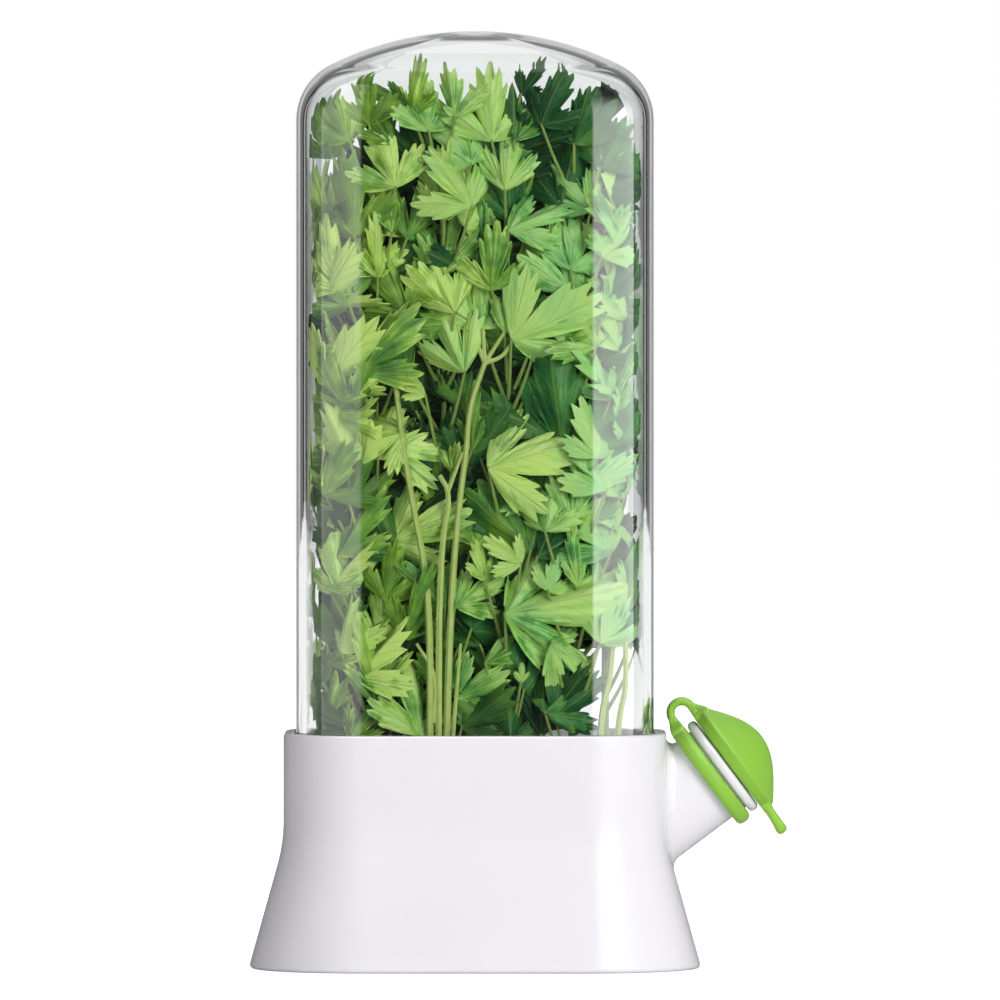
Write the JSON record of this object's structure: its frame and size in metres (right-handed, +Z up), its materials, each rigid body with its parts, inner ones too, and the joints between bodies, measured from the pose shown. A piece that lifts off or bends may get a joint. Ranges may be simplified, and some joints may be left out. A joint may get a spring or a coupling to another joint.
{
  "type": "herb keeper",
  "caption": "Tall clear domed keeper for fresh herbs: flared white water base with an angled filler spout and hinged cap, slotted basket inside, parsley sprigs standing in it.",
  "frame": {"origin": "middle of the flat underside that the base stands on", "axes": "+Z up, +X towards the filler spout, the wide front face looks along -Y"},
  "size_m": [0.1635, 0.1026, 0.285],
  "materials": {
    "white_plastic": "gloss",
    "clear_cover": "clear, polished",
    "green_silicone": "satin",
    "parsley": "leaf"
  },
  "bodies": {
    "base": {"base_shell": "white_plastic", "base_plate": "white_plastic", "herb_basket": "white_plastic", "cap_ring": "green_silicone", "cap_strap": "green_silicone", "sprig_01": "parsley", "sprig_02": "parsley", "sprig_03": "parsley", "sprig_04": "parsley", "sprig_05": "parsley", "sprig_06": "parsley", "sprig_07": "parsley", "sprig_08": "parsley", "sprig_09": "parsley", "sprig_10": "parsley", "sprig_11": "parsley", "sprig_12": "parsley", "sprig_13": "parsley"},
    "cover": {"cover": "clear_cover"},
    "cap": {"spout_cap": "green_silicone"}
  },
  "joints": [
    {"name": "cover_lift", "type": "slide", "parent": "base", "child": "cover", "axis": [0, 0, 1], "range_m": [0, 0.23]},
    {"name": "cap_hinge", "type": "hinge", "parent": "base", "child": "cap", "pos_m": [0.06308, 0, 0.07714], "axis": [0, -1, 0], "range_deg": [0, 110], "deforming": ["cap_strap"]}
  ]
}
